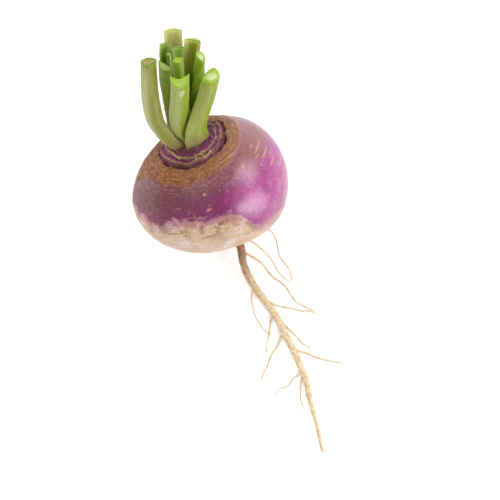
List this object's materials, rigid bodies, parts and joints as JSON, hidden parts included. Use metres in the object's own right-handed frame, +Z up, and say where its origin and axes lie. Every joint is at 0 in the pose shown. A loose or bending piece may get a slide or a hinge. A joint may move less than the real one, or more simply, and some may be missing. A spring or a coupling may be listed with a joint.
{
  "type": "purple top turnip",
  "caption": "Purple and cream turnip lying on its side, with a squat round bulb, a ringed corky crown, a tuft of cut leaf stalks, and a long taproot with rootlets.",
  "frame": {"origin": "on the ground at the flat spot that the bulb rests on", "axes": "+Z up, off the ground. The crown and its stalks point to +Y and up, the taproot trails along the ground to -Y, and +X is across, to the right when looking down with the crown at the top"},
  "size_m": [0.079, 0.2236, 0.0847],
  "materials": {
    "turnip_root": "satin waxy skin",
    "petiole_01": "satin",
    "petiole_02": "satin",
    "petiole_03": "satin",
    "petiole_04": "satin",
    "petiole_05": "satin",
    "petiole_06": "satin",
    "petiole_07": "satin",
    "petiole_08": "satin",
    "petiole_09": "satin",
    "petiole_10": "satin",
    "petiole_11": "satin"
  },
  "bodies": {
    "root": {"turnip_root": "turnip_root", "petiole_01": "petiole_01", "petiole_02": "petiole_02", "petiole_03": "petiole_03", "petiole_04": "petiole_04", "petiole_05": "petiole_05", "petiole_06": "petiole_06", "petiole_07": "petiole_07", "petiole_08": "petiole_08", "petiole_09": "petiole_09", "petiole_10": "petiole_10", "petiole_11": "petiole_11"}
  },
  "joints": []
}
